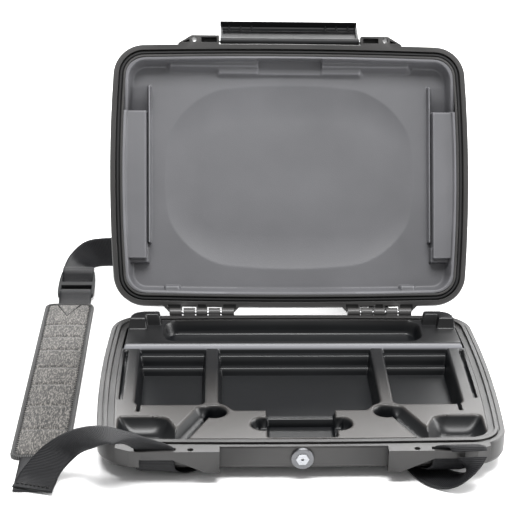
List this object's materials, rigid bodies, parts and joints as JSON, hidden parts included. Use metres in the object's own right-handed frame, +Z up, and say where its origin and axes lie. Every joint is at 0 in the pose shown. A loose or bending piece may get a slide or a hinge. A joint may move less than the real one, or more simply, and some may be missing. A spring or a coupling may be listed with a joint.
{
  "type": "hard shell laptop case",
  "caption": "Slim hard carrying case with a hinged lid, a wide snap latch, a fitted tray, a pressure valve and a padded shoulder strap.",
  "frame": {"origin": "middle of the underside of the base, on the surface that it stands on", "axes": "+X to the right seen from the latch side, +Y to the back where the hinges are, +Z up"},
  "size_m": [0.375, 0.4268, 0.2459],
  "materials": {
    "shell": "fine grained black moulded plastic",
    "tray": "black moulded sheet with a soft sheen",
    "liner": "grained dark grey moulded sheet",
    "seal": "matt black",
    "latch": "smooth black",
    "pins": "plain steel",
    "valve": "satin grey metal",
    "membrane": "white porous film",
    "webbing": "woven black",
    "pad_face": "quilted speckled grey felt",
    "pad_edge": "stitched dark binding",
    "pad_back": "dark grip fabric",
    "buckle": "smooth black"
  },
  "bodies": {
    "base": {"base_shell": "shell", "base_tray": "tray", "valve_housing": "valve", "valve_o_ring": "seal", "valve_nut": "valve", "valve_knob": "valve", "valve_membrane": "membrane", "hinge_pin_left": "pins", "hinge_pin_right": "pins", "pad_binding": "pad_edge", "pad_backing": "pad_back", "pad_face": "pad_face", "strap_tab": "webbing", "strap_pad_lead": "webbing", "strap_buckle": "buckle", "strap_left_webbing": "webbing", "strap_main_webbing": "webbing", "strap_right_tail": "webbing"},
    "lid": {"lid_shell": "shell", "lid_liner": "liner", "lid_gasket": "seal", "latch_pin_left": "pins", "latch_pin_right": "pins"},
    "latch": {"latch": "latch"}
  },
  "joints": [
    {"name": "lid_hinge", "type": "hinge", "parent": "base", "child": "lid", "pos_m": [0, 0.119, 0.02715], "axis": [-1, 0, 0], "range_deg": [-116.8, 0]},
    {"name": "latch_hinge", "type": "hinge", "parent": "lid", "child": "latch", "pos_m": [0, 0.23411, 0.23475], "axis": [-1, 0, 0], "range_deg": [-142, 8]}
  ]
}
